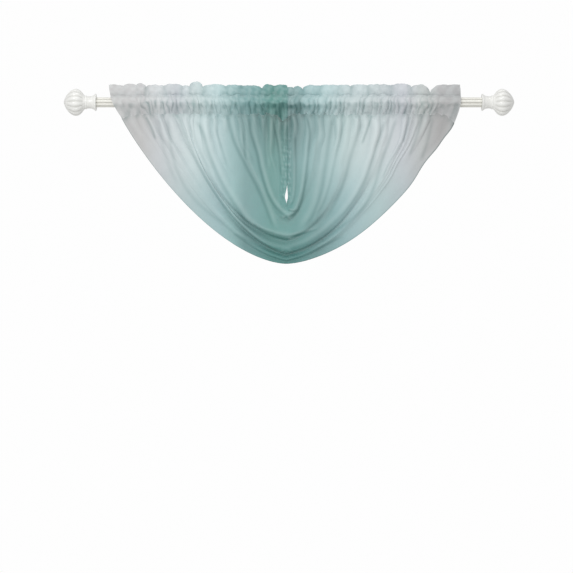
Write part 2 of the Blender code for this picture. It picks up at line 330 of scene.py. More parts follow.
def fold_value(column_name, across):
    """A FOLDS column as a smooth curve, read at fold numbers that need not be whole."""
    rows = np.array([getattr(fold, column_name) for fold in FOLDS])
    start = np.clip(across.astype(int), 0, OUTER - 1)
    share = across - start
    here, following = rows[start], rows[start + 1]
    leaving = (following - rows[np.maximum(start - 1, 0)]) / 2.0
    arriving = (rows[np.minimum(start + 2, OUTER)] - here) / 2.0
    return (
        here * (1.0 + 2.0 * share) * (1.0 - share) ** 2
        + leaving * share * (1.0 - share) ** 2
        + following * share ** 2 * (3.0 - 2.0 * share)
        - arriving * share ** 2 * (1.0 - share)
    )


def sided(side, left_values, right_values):
    """Each point's value from its own side's array."""
    return np.where(side == LEFT, left_values, right_values)


def bell(distance, reach):
    """1 at no distance, fading smoothly to nothing a few reaches away."""
    return np.exp(-((distance / reach) ** 2))


def dip_at(dips, x):
    """How far a table of dips lowers the edge at x."""
    return sum(dip.depth * bell(x - dip.x, dip.reach) for dip in dips)


def crumple(along, over, waves, side=0):
    """Smooth, uneven waves: the sum of a few sine waves in seeded directions."""
    draw = random.Random(waves.seed + side)
    total = np.zeros_like(along)
    for _ in range(WAVE_COUNT):
        heading = draw.uniform(0.0, 2.0 * math.pi)
        length = waves.length * draw.uniform(*WAVE_LENGTHS)
        phase = draw.uniform(0.0, 2.0 * math.pi)
        step = along * math.cos(heading) + over * math.sin(heading)
        total += np.sin(2.0 * math.pi * step / length + phase)
    return waves.height * (total / math.sqrt(WAVE_COUNT))


def fair_curve(points, first, last, steps):
    """A smooth line through points, in steps from each to the next. The line sets out as if
    from first and arrives as if on its way to last."""
    ends = np.vstack([first, points, last])
    line = []
    for before, here, following, beyond in zip(ends, ends[1:], ends[2:], ends[3:]):
        for step in range(steps):
            t = step / steps
            line.append(0.5 * (
                2 * here + (following - before) * t
                + (2 * before - 5 * here + 4 * following - beyond) * t ** 2
                + (3 * here - before - 3 * following + beyond) * t ** 3
            ))
    line.append(points[-1])
    return np.array(line)


def heading_x(side, across):
    """Where a line across the heading meets the lower stitching."""
    return sided(side, fold_value("left_x", across), fold_value("right_x", across))


def stitch_z(x):
    """Height of the pocket's lower stitching, drawn up and down a little by the gathers."""
    return STITCH_Z - dip_at(STITCH_DIPS, x) + crumple(x, x, STITCH_WAVES)


def flared_x(side, across, z):
    """The heading's outer end leans outwards as it rises, and bows out over the pole."""
    x = heading_x(side, across)
    foot = stitch_z(x)
    flare = sided(side, LEFT_FLARE, RIGHT_FLARE)
    risen = unit((z - foot) / (RUFFLE_TOP_Z - foot))
    outwards = flare * (z - foot) + END_BOW * np.sin(math.pi * risen)
    return x + side * smooth(FLARE_START, 1.0, across / OUTER) * outwards


Gathers = namedtuple("Gathers", "places heights reaches")


def draw_gathers(side, spacing, seed):
    """Seeded gathers along a heading: creases, heights and reaches downwards."""
    draw = random.Random(seed + side)
    flat_from, flat_to = FLAT_ENDS[side]
    shortest, longest = GATHER_REACH
    start, end = GATHERED_LENGTH
    places = [start]
    while places[-1] < end:
        places.append(places[-1] + draw.uniform(*spacing))
    heights, reaches = [], []
    for first, second in zip(places, places[1:]):
        height = GATHER_HEIGHT * (second - first) * draw.uniform(*GATHER_UNEVENNESS)
        if flat_from < (first + second) / 2.0 < flat_to:
            height *= FLAT_END_SHARE
        heights.append(height)
        reaches.append(shortest + (longest - shortest) * draw.random() ** 2)
    return Gathers(*(np.array(row) for row in (places, heights, reaches)))


def gather_at(gathers, x):
    """The gather at x: its number, and how far across it x lies from 0 to 1."""
    places = gathers.places
    start = np.clip(np.searchsorted(places, x) - 1, 0, len(places) - 2)
    share = (x - places[start]) / (places[start + 1] - places[start])
    return start, unit(share)


def gather_weight(gathers, start):
    """How strong each gather is beside the usual one."""
    return np.clip(gathers.heights / np.mean(gathers.heights), 0.0, STRONGEST_GATHER)[start]


def bulge_at(gathers, x):
    """How far the cloth bulges between its creases, and each gather's reach down the swag."""
    start, share = gather_at(gathers, x)
    bulge = gathers.heights[start] * np.sin(np.pi * share) ** BULGE_ROUNDNESS
    return bulge, gathers.reaches[start]


def closeness_at(gathers, x):
    """1 on a crease between two gathers, falling to 0 half way to the next."""
    start, share = gather_at(gathers, x)
    return gather_weight(gathers, start) * (1.0 - np.sin(np.pi * share)) ** 2


def crown_at(gathers, x):
    """1 on the crown of a strong gather, fading beside it: where a painted highlight goes."""
    start, share = gather_at(gathers, x)
    return gather_weight(gathers, start) * np.sin(np.pi * share) ** CROWN_SHARPNESS


def loop_at(side, outward):
    """The ruffle's loop at a distance outwards: how far across it, notch, top and turn."""
    starts, notches, tops, turns = np.array(RUFFLE_LOOPS[side]).T * MM
    last = len(starts) - 2
    number = np.clip(np.searchsorted(starts, outward) - 1, 0, last)
    share = unit((outward - starts[number]) / (starts[number + 1] - starts[number]))
    notch = notches[number] + share * (notches[number + 1] - notches[number])
    notch = np.where(number == last, notches[last], notch)
    share = np.where(number == last, np.minimum(share, 0.5), share)
    return share, notch, tops[number], turns[number]


SWAG_GATHERS = {side: draw_gathers(side, SWAG_SPACING, SWAG_SEED) for side in (LEFT, RIGHT)}
POCKET_GATHERS = {
    side: draw_gathers(side, POCKET_SPACING, POCKET_SEED) for side in (LEFT, RIGHT)
}


# ---------------------------------------------------------------- the swag below the pocket


def swoop(side, across, down):
    """Points on the smooth swag, down from 0 at the heading to 1 at the middle."""
    full = sided(side, fold_value("left_full", across), fold_value("right_full", across))
    turn = 1.0 - (1.0 - down ** (full / 2.0)) ** (FOLD_SQUARENESS / 2.0)
    angle = turn * math.pi / 2.0
    inward = np.maximum(np.cos(angle), 0.0) ** (2.0 / FOLD_SQUARENESS)
    fallen = np.sin(angle) ** (2.0 / full)
    top_x = heading_x(side, across)
    top_z = stitch_z(top_x)
    x = MIDDLE_X + (top_x - MIDDLE_X) * inward
    z = top_z + (fold_value("middle_z", across) - top_z) * fallen
    height = np.where(z > OPENING_Z, OPENING_HEIGHT, OPENING_FOOT)
    bulge = OPENING_BULGE * bell(z - OPENING_Z, height)
    beside = np.exp(-across / OPENING_REACH) * smooth(*OPENING_END, down)
    x += (side - OPENING_LEAN) * bulge * beside
    return x, z


def hem_inset(side, across, down):
    """How far the cloth near the outer hem is drawn in towards the middle."""
    inset = sum(
        np.where(side == dent.side, dent.inward, 0.0) * bell(down - dent.down, dent.reach)
        for dent in HEM_DENTS
    )
    inset = inset * smooth(0.0, HEM_EASE, down) * smooth(1.0, 1.0 - HEM_EASE, down)
    return inset * smooth(FLARE_START, 1.0, across / OUTER)


def crease_line(path):
    """A crease's path in metres, rounded off between its points."""
    points = np.array(path, float) * MM
    first = 2 * points[0] - points[1]
    last = 2 * points[-1] - points[-2]
    return fair_curve(points, first, last, CREASE_STEPS)


def beside_line(x, z, line):
    """Each point's distance from a line, above 0 on its left side, and its place along it."""
    nearest = np.full(x.shape, 1e9)
    signed = np.zeros_like(x)
    along = np.zeros_like(x)
    count = len(line) - 1
    for number, (start, end) in enumerate(zip(line, line[1:])):
        step = end - start
        length = step @ step
        share = ((x - start[0]) * step[0] + (z - start[1]) * step[1]) / length
        held = unit(share)
        off_x = x - start[0] - held * step[0]
        off_z = z - start[1] - held * step[1]
        distance = np.hypot(off_x, off_z)
        closer = distance < nearest
        nearest = np.where(closer, distance, nearest)
        turned = np.sign(step[0] * off_z - step[1] * off_x)
        signed = np.where(closer, turned * distance, signed)
        along = np.where(closer, (number + held) / count, along)
    return signed, along


def band_at(inner, width, band):
    """1 in the middle of a band along a crease, fading to nothing on both sides."""
    return bell(inner - band.place * width, band.width * width)


def crease_relief(x, z):
    """How far the creases lift the cloth, how much painted shade lies along them and how much
    painted highlight along their ridges."""
    lift = np.zeros_like(x)
    dark = np.zeros_like(x)
    painted_highlight = np.zeros_like(x)
    for crease in CREASES:
        line = crease_line(crease.path)
        width = crease.width * MM
        margin = CREASE_MARGIN * width
        low, high = line.min(0) - margin, line.max(0) + margin
        near = np.flatnonzero((x > low[0]) & (x < high[0]) & (z > low[1]) & (z < high[1]))
        signed, along = beside_line(x[near], z[near], line)
        upper_left = line[0][0] < MIDDLE_X or line[0][0] < line[-1][0]
        inner = signed * (1.0 if upper_left else -1.0)
        fade = smooth(*CREASE_START, along)
        if abs(line[-1][0] - MIDDLE_X) >= MM:
            fade = fade * smooth(*CREASE_END, along)
        roll = band_at(inner, width, ROLL_BAND)
        hollow = band_at(inner, width, HOLLOW_BAND)
        lift[near] += crease.rise * MM * fade * (roll - HOLLOW_SHARE * hollow)
        # Painted shade along the crease's line and a painted highlight along its ridge.
        shade = crease.dark * fade * band_at(inner, width, DARK_BAND)
        dark[near] = np.maximum(dark[near], shade)
        ridge_highlight = crease.dark * fade * band_at(inner, width, PAINTED_HIGHLIGHT_BAND)
        painted_highlight[near] = np.maximum(painted_highlight[near], ridge_highlight)
    return lift, dark, painted_highlight


def panel_points(side, across, down):
    """Points on the folded swag, each with its nearness to a gather's crease, its painted shade and
    its painted highlight.
    """
    roll = fold_value("roll", across) * smooth(ROLL_START, ROLL_FULL, down)
    turn = 2.0 * math.pi * across
    hung = across - roll * (1.0 - np.cos(turn))
    x, z = swoop(side, hung, down)
    pointed = smooth(*POINT_INNER, across) * smooth(*POINT_OUTER, across)
    z = z - POINT_DROP * pointed * np.exp(-np.abs(x - MIDDLE_X) / POINT_REACH)
    depth = fold_value("depth", across) * smooth(0.0, PINCHED, down)
    depth = depth * (1.0 - HIGH_SHALLOWNESS * smooth(DEPTH_FULL, PINCHED, down))
    y = depth * np.sin(turn - FOLD_LEAN)
    outer = smooth(FLARE_START, 1.0, across / OUTER)
    y += HEM_RIPPLE * outer * np.sin(math.pi * down) * np.sin(HEM_RIPPLES * down + side)
    y -= FORWARD_HANG * smooth(0.0, 1.0, down)
    x -= side * hem_inset(side, across, down)

    top_x = heading_x(side, across)
    closeness = np.zeros_like(x)
    crown = np.zeros_like(x)
    for one_side in (LEFT, RIGHT):
        mine = side == one_side
        swayed = top_x[mine] + crumple(top_x[mine], z[mine], SWAY_WAVES)
        from_middle = one_side * swayed
        gathers = SWAG_GATHERS[one_side]
        bulge, reach = bulge_at(gathers, from_middle)
        y[mine] -= bulge * smooth(0.0, GATHERS_START, down[mine]) * bell(down[mine], reach)
        # Nearness to a gather's crease, for painted shade and fullness.
        closeness[mine] = closeness_at(gathers, from_middle) * bell(
            down[mine], CLOSENESS_REACH * reach)
        crown[mine] = crown_at(gathers, from_middle) * bell(down[mine], CROWN_REACH * reach)
    lift, dark, painted_highlight = crease_relief(x, z)
    # Painted highlight on the gathers' crowns.
    painted_highlight = np.maximum(painted_highlight, CROWN_PAINTED_HIGHLIGHT * crown)
    y -= lift * smooth(*LIFT_START, down)
    y -= crumple(x, z, LIMP_WAVES) * smooth(0.0, HEM_EASE, down)
    return x, y, z, closeness, dark, painted_highlight


def new_grid(columns, rows):
    """A flat grid as a bmesh, with each vertex's share of the way along both sides."""
    mesh = bmesh.new()
    bmesh.ops.create_grid(mesh, x_segments=columns, y_segments=rows, size=0.5)
    places = np.array([vertex.co[:2] for vertex in mesh.verts]) + 0.5
    return mesh, unit(places[:, 0]), unit(places[:, 1])


def steepness(mesh):
    """How far the cloth at each vertex turns edge-on to the room, where its layers crowd."""
    mesh.normal_update()
    return 1.0 - np.abs(np.array([vertex.normal.y for vertex in mesh.verts]))


def put_vertices(mesh, x, y, z):
    """Move every vertex of a bmesh to its own place."""
    for vertex, place in zip(mesh.verts, np.column_stack([x, y, z]).tolist()):
        vertex.co = place


def add_piece(mesh, name, material, attributes=None, flat=None):
    """Turn a bmesh into a smooth-shaded piece that rides on the pole."""
    if flat is not None:
        bmesh.ops.recalc_face_normals(mesh, faces=mesh.faces)
    data = bpy.data.meshes.new(name)
    mesh.to_mesh(data)
    mesh.free()
    for key, values in (attributes or {}).items():
        data.attributes.new(key, "FLOAT", "POINT").data.foreach_set("value", values)
    if flat is not None:
        corners = np.zeros(len(data.loops), int)
        data.loops.foreach_get("vertex_index", corners)
        cut = data.uv_layers.new(name="cut_cloth")
        cut.data.foreach_set("uv", np.column_stack(flat)[corners].ravel())
    data.materials.append(material)
    data.shade_smooth()
    piece = bpy.data.objects.new(name, data)
    bpy.context.scene.collection.objects.link(piece)
    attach(piece, BODY)
    return piece


# ---------------------------------------------------------------- materials


def dye(code):
    """An sRGB hex code as linear red, green, blue and full alpha."""
    parts = [int(code[i:i + 2], 16) / 255.0 for i in (1, 3, 5)]
    linear = [p / 12.92 if p <= 0.04045 else ((p + 0.055) / 1.055) ** 2.4 for p in parts]
    return (*linear, 1.0)


def add_node(tree, kind, links=(), values=(), **settings):
    """Add a node with its settings, its sockets' values and its incoming links."""
    node = tree.nodes.new(kind)
    for key, value in settings.items():
        setattr(node, key, value)
    for key, value in dict(values).items():
        node.inputs[key].default_value = value
    for key, source in dict(links).items():
        tree.links.new(source, node.inputs[key])
    return node


def set_stops(ramp_node, stops):
    """Give a ColorRamp its stops, as (place, colour) pairs."""
    ramp = ramp_node.color_ramp
    ramp.interpolation = "LINEAR"
    while len(ramp.elements) > 1:
        ramp.elements.remove(ramp.elements[-1])
    for number, (place, colour) in enumerate(stops):
        stop = ramp.elements[0] if number == 0 else ramp.elements.new(place)
        stop.position = place
        stop.color = dye(colour)


def new_material(name, **values):
    """A material with one Principled shader, given its even values."""
    material = bpy.data.materials.new(name)
    material.use_nodes = True
    shader = material.node_tree.nodes["Principled BSDF"]
    for key, value in values.items():
        shader.inputs[key.replace("_", " ")].default_value = value
    return material, material.node_tree, shader


# The ombre dye along the pole, from grey ends to a teal middle: on the headings, high in the
# swag and low in it.
DYE_SPAN = (-0.640, 0.600)
HEADING_DYE = (
    (-0.600, "#CBCACA"), (-0.500, "#CECDCE"), (-0.440, "#D6D9DB"), (-0.380, "#CBCFD4"),
    (-0.320, "#CEDADB"), (-0.240, "#C0D6D8"), (-0.200, "#A4C2C3"), (-0.150, "#88AEAF"),
    (-0.090, "#76A3A1"), (-0.060, "#689C96"), (-0.006, "#6F9E9A"), (-0.001, "#8AAAAB"),
    (0.030, "#8AABAC"), (0.042, "#8FB0B1"), (0.050, "#A0C0C2"), (0.110, "#B8D2D4"),
    (0.200, "#C8D6D8"), (0.300, "#CBD4D6"), (0.390, "#CDCFD5"), (0.450, "#CED2D1"),
    (0.510, "#BEBDBE"), (0.580, "#B6B6B7"),
)
HIGH_DYE = (
    (-0.600, "#ABABAB"), (-0.500, "#ADADAD"), (-0.440, "#B6BBBE"), (-0.380, "#B9C4C6"),
    (-0.320, "#BCCCCD"), (-0.240, "#A5BEC0"), (-0.200, "#8BADAE"), (-0.150, "#669191"),
    (-0.090, "#538785"), (-0.060, "#48837D"), (-0.006, "#4F8480"), (-0.001, "#5C8988"),
    (0.030, "#648E8E"), (0.060, "#7DA4A5"), (0.110, "#8FAFB0"), (0.200, "#AEC2C2"),
    (0.300, "#BAC5C7"), (0.390, "#B6BBC0"), (0.450, "#A6AAAA"), (0.510, "#989797"),
    (0.580, "#939393"),
)
LOW_DYE = (
    (-0.600, "#A6A6A7"), (-0.500, "#A6A8AA"), (-0.440, "#A2A9AC"), (-0.380, "#9FB0B2"),
    (-0.300, "#97B2B4"), (-0.240, "#91B1B4"), (-0.190, "#82AAAA"), (-0.150, "#638F8F"),
    (-0.100, "#568C8A"), (-0.060, "#4C8984"), (-0.010, "#508B87"), (0.020, "#4E8784"),
    (0.050, "#598E8C"), (0.100, "#679292"), (0.160, "#7EA4A6"), (0.220, "#93B1B4"),
    (0.300, "#9DB6B7"), (0.390, "#9BABAE"), (0.450, "#939799"), (0.520, "#8C8E90"),
)
HIGH_Z = -0.12
LOW_Z = -0.38
DYE_WANDER = 0.012
# The pale tone of the painted highlight, and the darker tone that the painted shade multiplies in.
PAINTED_HIGHLIGHT_TONE = "#D4E3E2"
PAINTED_SHADE_TONE = "#86A5A3"
WEAVE_COVER = (0.96, 1.02)

# Threads lie 0.3 mm apart, too fine to show, so the weave is drawn 1.6 mm apart. A wave
# texture's bands lie pi / (10 * scale) apart.
THREAD_SPACING = 0.0016
WEAVE_SCALE = math.pi / (10.0 * THREAD_SPACING)

# A faint mottle in the paint, and its orange-peel skin.
MOTTLE_SIZE = 0.004
SKIN_SIZE = 0.0015
BUMP_DEPTH = 0.0003


def add_ombre(tree, low_dye, high_dye):
    """The dye colour at each point, from its place along the pole and its height."""
    place = add_node(tree, "ShaderNodeTexCoord").outputs["Object"]
    streaks = add_node(tree, "ShaderNodeTexNoise", {"Vector": place}, {
        "Scale": 9.0, "Detail": 3.0, "Roughness": 0.5})
    split = add_node(tree, "ShaderNodeSeparateXYZ", {"Vector": place}).outputs
    wander = add_node(tree, "ShaderNodeMath", {0: streaks.outputs["Fac"]}, {
        1: DYE_WANDER, 2: -DYE_WANDER / 2.0}, operation="MULTIPLY_ADD").outputs[0]
    shifted = add_node(tree, "ShaderNodeMath", {0: split["X"], 1: wander}, operation="ADD")
    along = add_node(tree, "ShaderNodeMapRange", {"Value": shifted.outputs[0]}, {
        "From Min": DYE_SPAN[0], "From Max": DYE_SPAN[1]}).outputs["Result"]
    ramps = []
    for stops in (low_dye, high_dye):
        ramp = add_node(tree, "ShaderNodeValToRGB", {"Fac": along})
        width = DYE_SPAN[1] - DYE_SPAN[0]
        set_stops(ramp, [((x - DYE_SPAN[0]) / width, colour) for x, colour in stops])
        ramps.append(ramp.outputs["Color"])
    height = add_node(tree, "ShaderNodeMapRange", {"Value": split["Z"]}, {
        "From Min": LOW_Z, "From Max": HIGH_Z}, interpolation_type="SMOOTHSTEP")
    return add_node(tree, "ShaderNodeMix", {
        0: height.outputs["Result"], 6: ramps[0], 7: ramps[1]}, data_type="RGBA").outputs[2]


def make_voile(name, dyes, thinnest, fullest):
    """Dyed polyester voile: fine, open, plain-woven and sheer, so it shows a soft matt face
    that turns denser wherever folds double it. Painted shade and painted highlight are mixed into
    its dye colour."""
    material, tree, shader = new_material(
        name, Roughness=0.78, IOR=1.45, Sheen_Weight=0.15, Sheen_Roughness=0.5,
        Specular_IOR_Level=0.25)
    colour = add_ombre(tree, *dyes)
    # Attributes: painted shade (with the hems' own denser cloth), how full the cloth is, and
    # painted highlight.
    crease, full, painted_highlight = (
        add_node(tree, "ShaderNodeAttribute", attribute_name=key).outputs["Fac"]
        for key in ("crease", "fullness", "painted_highlight")
    )
    # Painted highlight first, then painted shade.
    with_painted_highlight = add_node(tree, "ShaderNodeMix", {0: painted_highlight, 6: colour}, {
        7: dye(PAINTED_HIGHLIGHT_TONE)}, data_type="RGBA").outputs[2]
    with_painted_shade = add_node(tree, "ShaderNodeMix", {0: crease, 6: with_painted_highlight}, {
        7: dye(PAINTED_SHADE_TONE)}, data_type="RGBA", blend_type="MULTIPLY").outputs[2]
    cut = add_node(tree, "ShaderNodeUVMap", uv_map="cut_cloth").outputs["UV"]
    threads = [
        add_node(tree, "ShaderNodeTexWave", {"Vector": cut}, {
            "Scale": WEAVE_SCALE, "Distortion": 0.6, "Detail": 1.0, "Detail Scale": 2.0},
            bands_direction=direction).outputs["Fac"]
        for direction in ("X", "Y")
    ]
    weave = add_node(tree, "ShaderNodeMath", dict(enumerate(threads)), operation="MAXIMUM")
    bump = add_node(tree, "ShaderNodeBump", {"Height": weave.outputs[0]}, {
        "Strength": 0.25, "Distance": BUMP_DEPTH})
    cover = add_node(tree, "ShaderNodeMapRange", {"Value": full}, {
        "To Min": thinnest, "To Max": fullest}).outputs["Result"]
    thinner = add_node(tree, "ShaderNodeMapRange", {"Value": weave.outputs[0]}, {
        "To Min": WEAVE_COVER[0], "To Max": WEAVE_COVER[1]}).outputs["Result"]
    alpha = add_node(tree, "ShaderNodeMath", {0: cover, 1: thinner}, operation="MULTIPLY")
    tree.links.new(with_painted_shade, shader.inputs["Base Color"])
    tree.links.new(alpha.outputs[0], shader.inputs["Alpha"])
    tree.links.new(bump.outputs["Normal"], shader.inputs["Normal"])
    return material


def make_enamel(name, colour, groove_shade_colour):
    """White enamel on turned wood and moulded resin: smooth and satin, with painted shade that
    turns it a little greyer in the grooves."""
    material, tree, shader = new_material(
        name, Roughness=0.34, IOR=1.5, Coat_Weight=0.25, Coat_Roughness=0.2)
    painted_groove_shade = add_node(tree, "ShaderNodeAttribute", attribute_name="painted_groove_shade").outputs["Fac"]
    place = add_node(tree, "ShaderNodeTexCoord").outputs["Object"]
    mottle = add_node(tree, "ShaderNodeTexNoise", {"Vector": place}, {
        "Scale": 1.0 / MOTTLE_SIZE, "Detail": 2.0})
    skin = add_node(tree, "ShaderNodeTexNoise", {"Vector": place}, {
        "Scale": 1.0 / SKIN_SIZE, "Detail": 1.0})
    tint = add_node(tree, "ShaderNodeMapRange", {"Value": mottle.outputs["Fac"]}, {
        "To Min": -0.04, "To Max": 0.08})
    # Painted shade in the grooves, plus the paint's own faint mottle.
    groove_shade_and_mottle = add_node(tree, "ShaderNodeMath", {0: painted_groove_shade, 1: tint.outputs["Result"]},
                     operation="ADD", use_clamp=True)
    mixed = add_node(tree, "ShaderNodeMix", {0: groove_shade_and_mottle.outputs[0]}, {
        6: dye(colour), 7: dye(groove_shade_colour)}, data_type="RGBA")
    bump = add_node(tree, "ShaderNodeBump", {"Height": skin.outputs["Fac"]}, {
        "Strength": 0.06, "Distance": BUMP_DEPTH})
    tree.links.new(mixed.outputs[2], shader.inputs["Base Color"])
    tree.links.new(bump.outputs["Normal"], shader.inputs["Normal"])
    return material


VOILE = make_voile("dyed_polyester_voile", (LOW_DYE, HIGH_DYE), 0.86, 0.98)
HEADING_VOILE = make_voile(
    "gathered_polyester_voile", (HEADING_DYE, HEADING_DYE), 0.80, 0.96)
# Each paint's own colour, and the grey of the painted shade in its grooves.
POLE_PAINT = make_enamel("painted_reeded_wood", "#E3E2DB", "#A3A198")
KNOB_PAINT = make_enamel("white_enamel", "#E5E5E2", "#C6C6C1")

# ---------------------------------------------------------------- the swag

# The two inner edges meet along this line, as (x, z) in millimetres, and lap a little there.
SEAM_PATH = ((-5, -48), (-5, -150), (-7, -240), (-9, -300), (-9, -346))
SEAM_LAP = 0.0007
SEAM_LAP_ACROSS = (0.25, 0.0)
SEAM_LAP_DOWN = (0.93, 0.80)
INNER_HEM = 0.025
INNER_HEM_EDGE = 0.86
INNER_HEM_START = (0.02, 0.10)
INNER_HEM_LIFT = 0.0008

# The seam draws the cloth up into puckers on both sides of this place; where they rise they get a
# painted highlight and less painted shade.
PUCKER_X = -0.010
PUCKER_SIDES = (0.022, 0.012)
PUCKER_START = (0.05, 0.30)
PUCKER_END = (1.0, 0.85)
PUCKER_RISE = 0.0008
PUCKER_SHADE = 0.10
PUCKER_PAINTED_HIGHLIGHT = 0.45

# How wide the outermost fold is at the heading and at the foot, and its sewn rim.
SIDE_FOLD = 0.112
FOOT_FOLD = 0.019
HEM_BAND = (0.055, 0.03)
RIM_BAND = (0.0045, 0.0015)

# Towards the foot the low folds get painted shade and less shows through them: how far down, and
# which folds by their numbers.
FOOT_DOWN = (0.2, 1.0)
FOOT_ACROSS = (1.5, 3.4)
FOOT_CREASE_FADE = 0.4

# The heading's cloth shades a strip under the pocket, unevenly, and turns in at the middle.
POCKET_SHADE = (0.10, 0.30)
POCKET_SHADE_REACH = 0.012
TURNED_X = -0.0185
TURNED_SIDES = (0.0185, 0.0145)
TURNED_BELOW = (-0.070, -0.064)
TURNED_SHADE = 0.22

# How much each of these adds to the cloth's fullness and to its darker tone: painted shade for the
# gathers, creases and foot, the cloth's own extra layers at the hems and rim.
SwagShares = namedtuple("SwagShares", "gathers creases inner_hem hem rim foot")
SWAG_FULLNESS = SwagShares(0.30, 0.80, 0.25, 0.50, 1.00, 0.50)
SWAG_SHADE = SwagShares(0.18, 0.90, 0.05, 0.12, 0.40, 0.34)
EVEN_FULLNESS = 0.1
SWAG_PAINTED_HIGHLIGHT = 0.26

# The flat cloth: the swag's outer hem, its depth from fold to fold, how full it is gathered on
# the pole and how long the strip is that turns over the pole.
CUT_LENGTH = 1.62
CUT_PER_FOLD = 0.1026
GATHERED_FULLNESS = 1.27
HEADING_CUT = 0.234


def tally(shares, *causes):
    """The sum of some causes, each by its share."""
    return sum(share * cause for share, cause in zip(shares, causes))


def seam_marks(x, z, down):
    """Where the inner hem lies, and where the seam draws it up into puckers."""
    edge, along = beside_line(x, z, crease_line(SEAM_PATH))
    inner_hem = smooth(INNER_HEM, INNER_HEM_EDGE * INNER_HEM, np.abs(edge))
    inner_hem = inner_hem * smooth(*INNER_HEM_START, down)
    drawn = smooth(*PUCKER_SIDES, np.abs(x - PUCKER_X)) * smooth(*PUCKER_START, along)
    return inner_hem, drawn * smooth(*PUCKER_END, along) * inner_hem


def swag_tones(side, across, down, x, z, closeness, dark, inner_hem, puckers):
    """How full the cloth shows at each point of the swag, and how dark: painted shade, and the
    hems' own denser cloth.
    """
    hem = smooth(*HEM_BAND, OUTER - across)
    fold_width = SIDE_FOLD + (FOOT_FOLD - SIDE_FOLD) * down
    rim = smooth(*RIM_BAND, (OUTER - across) * fold_width)
    under_pocket = bell(stitch_z(heading_x(side, across)) - z, POCKET_SHADE_REACH)
    blotch = unit(0.5 + 0.5 * crumple(x, 0.6 * z, BLOTCH_WAVES))
    foot = smooth(*FOOT_DOWN, down) * smooth(*FOOT_ACROSS, across)
    fullness = EVEN_FULLNESS + tally(SWAG_FULLNESS, closeness, dark, inner_hem, hem, rim, foot)
    dark = dark * (1.0 - FOOT_CREASE_FADE * foot)
    # Painted shade under the pocket, unevenly, and near the middle; the raised puckers get less of
    # it.
    shade = unit(
        tally(SWAG_SHADE, closeness, dark, inner_hem, hem, rim, foot)
        - PUCKER_SHADE * inner_hem * puckers
        + under_pocket * (POCKET_SHADE[0] + POCKET_SHADE[1] * blotch)
        + HIGH_SHADE * bell(x, HIGH_SHADE_REACH) * smooth(*HIGH_SHADE_BAND, z))
    turned = smooth(*TURNED_SIDES, np.abs(x - TURNED_X)) * smooth(*TURNED_BELOW, z)
    return unit(fullness), unit(shade + TURNED_SHADE * turned)


def make_swag():
    """The draped swag from one heading's stitching, round the middle, to the other's."""
    mesh, across, over = new_grid(PANEL_COLUMNS, PANEL_ROWS)
    across = across * OUTER
    side = np.where(over < 0.5, LEFT, RIGHT)
    down = (1.0 - np.abs(2.0 * over - 1.0)) ** PANEL_CROWDING
    x, y, z, closeness, dark, painted_highlight = panel_points(side, across, down)
    y += side * SEAM_LAP * smooth(*SEAM_LAP_ACROSS, across) * smooth(*SEAM_LAP_DOWN, down)
    inner_hem, drawn = seam_marks(x, z, down)
    pucker = crumple(1.5 * x, 0.8 * z, SEAM_WAVES)
    y -= PUCKER_RISE * (0.2 * inner_hem + drawn) * pucker + INNER_HEM_LIFT * inner_hem
    # Painted highlight on the raised puckers.
    painted_highlight = np.maximum(painted_highlight, PUCKER_PAINTED_HIGHLIGHT * drawn * unit(pucker))
    fullness, shade = swag_tones(
        side, across, down, x, z, closeness, dark, inner_hem, drawn * pucker)
    put_vertices(mesh, x, y, z)
    fullness = unit(fullness + steepness(mesh))
    # Painted shade, save the hems' own denser cloth; how full; painted highlight.
    tones = {"crease": shade, "fullness": fullness, "painted_highlight": SWAG_PAINTED_HIGHLIGHT * painted_highlight}
    flat = (across * CUT_PER_FOLD, over * CUT_LENGTH)
    swag = add_piece(mesh, "swag_panel", VOILE, tones, flat)
    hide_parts("swag_cloth")
    return swag


# ---------------------------------------------------------------- the gathered headings

# Heights on the pocket run from 0 at its lower stitching to 1 at its upper one, and on the
# ruffle from 0 to 1 at its top.
LEAN_RISE = 0.012
LOOSE_EASE = 0.015
FLAT_HOLD = 0.85
WRINKLE_START = (0.0, 0.10)
WRINKLE_HIGH = (0.35, 0.80)
WRINKLE_HIGH_EASE = 0.65
WRINKLE_END = (1.0, 0.92)
LOOP_SQUARENESS = 0.45
LOOP_LOW_TURN = 0.25
LOOP_START = (0.0, 0.15)
RUFFLE_OPENING = 2.0
RUFFLE_EDGE = 0.0006
SIDEWAYS_BAND = (-0.04, 0.0)
POCKET_CREASE_HIGH = (0.45, 0.75)
POCKET_CREASE_EASE = 0.6
POCKET_CREASE_END = (0.7, 0.0)
LOOP_CREASE_START = (0.6, 0.95)
FULL_LOOP_TURN = 0.005
STRONGEST_LOOP = 1.2

# The pole's shadow on the pocket ends at a wandering line, and fades in patches at its foot.
ROOF_START = (0.62, 0.80)
ROOF_END = (0.5, 0.0)
LOW_LINE = (0.50, 0.40)
PATCH_BAND = (0.24, 0.08)
PATCH_FADE = 0.8
LOW_FULLNESS = 0.2
LOOSE_SHADE = (0.3, 0.7)
# Painted shade on the headings: in soft random folds of the ruffle, in the gathers, in the pole's
# shadow band and its uneven patches, by the top stitching and between the puffs.
HeadingShares = namedtuple("HeadingShares", "drape gathers low low_blotch roof dimples")
HEADING_SHADE = HeadingShares(0.16, 0.30, 0.06, 0.24, 0.08, 0.08)
# A painted highlight on the puffs, fainter in the pole's shadow band.
HEADING_PAINTED_HIGHLIGHT = 0.14
LOW_HIGHLIGHT_EASE = 0.7


